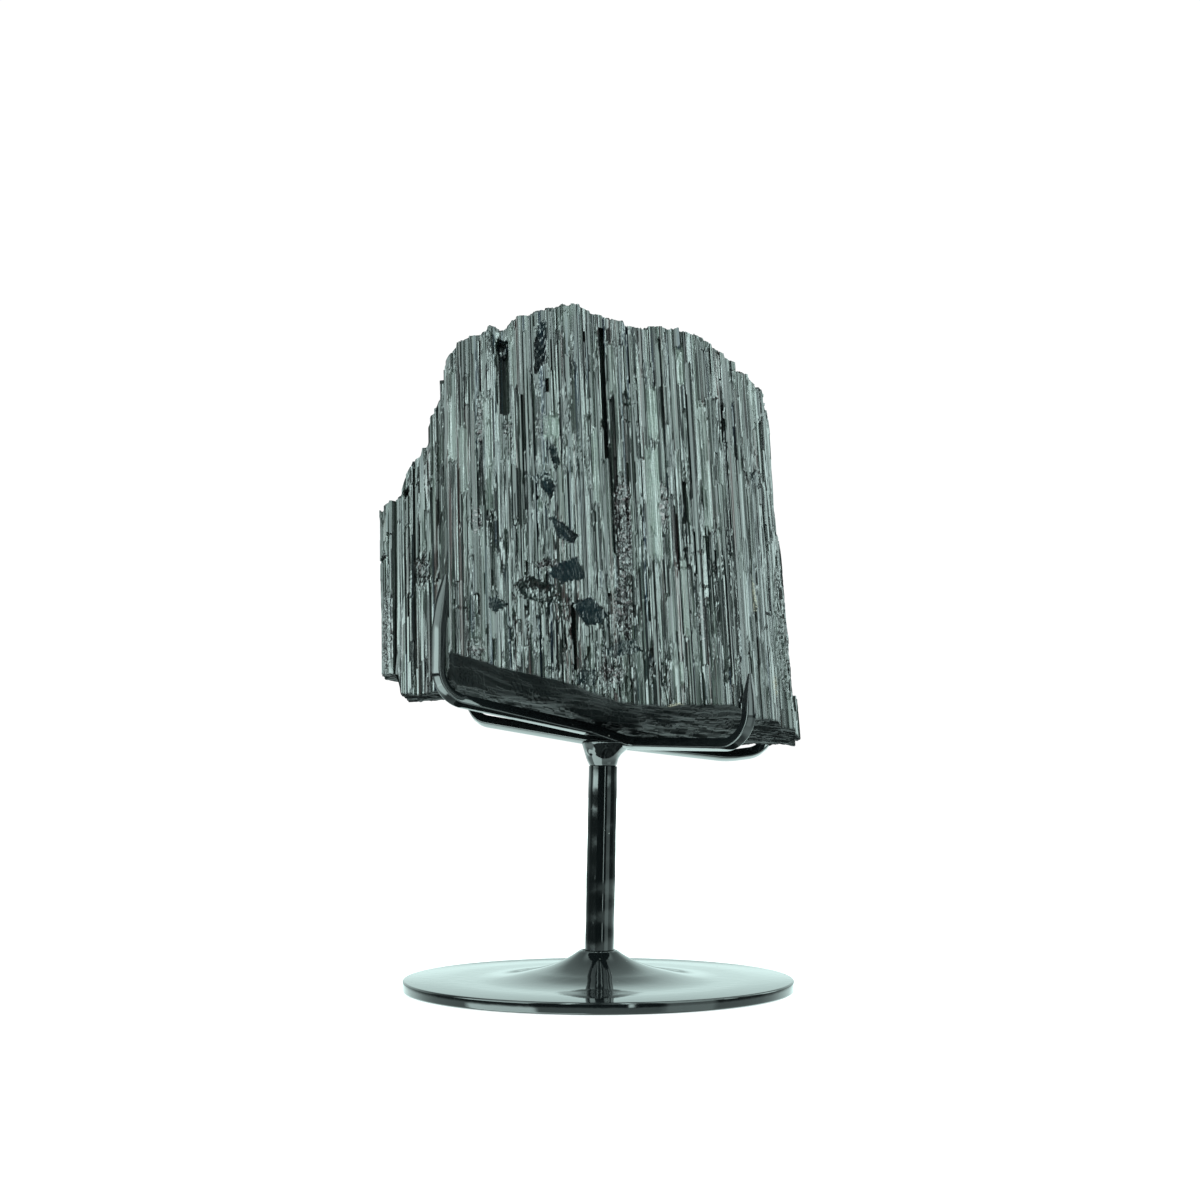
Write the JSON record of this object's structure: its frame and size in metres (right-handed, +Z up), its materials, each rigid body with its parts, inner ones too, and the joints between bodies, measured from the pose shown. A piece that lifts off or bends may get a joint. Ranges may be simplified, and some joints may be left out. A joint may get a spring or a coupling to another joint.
{
  "type": "black tourmaline crystal on a bent-bar stand",
  "caption": "Bundle of ribbed black crystal columns, broken at both ends, held by two bent square bars on a leaning post over a flared round foot.",
  "frame": {"origin": "middle of the foot disc's underside, on the surface the stand rests on", "axes": "+Z up, -Y towards the crystal's front, +X to the right seen from the front"},
  "size_m": [0.1245, 0.1142, 0.2018],
  "materials": {
    "black_tourmaline": "glassy ribbed faces with dull broken ends",
    "black_enamel": "gloss black"
  },
  "bodies": {
    "root": {"crystal": "black_tourmaline", "front_cradle": "black_enamel", "back_cradle": "black_enamel", "weld": "black_enamel", "post": "black_enamel", "base": "black_enamel"}
  },
  "joints": []
}
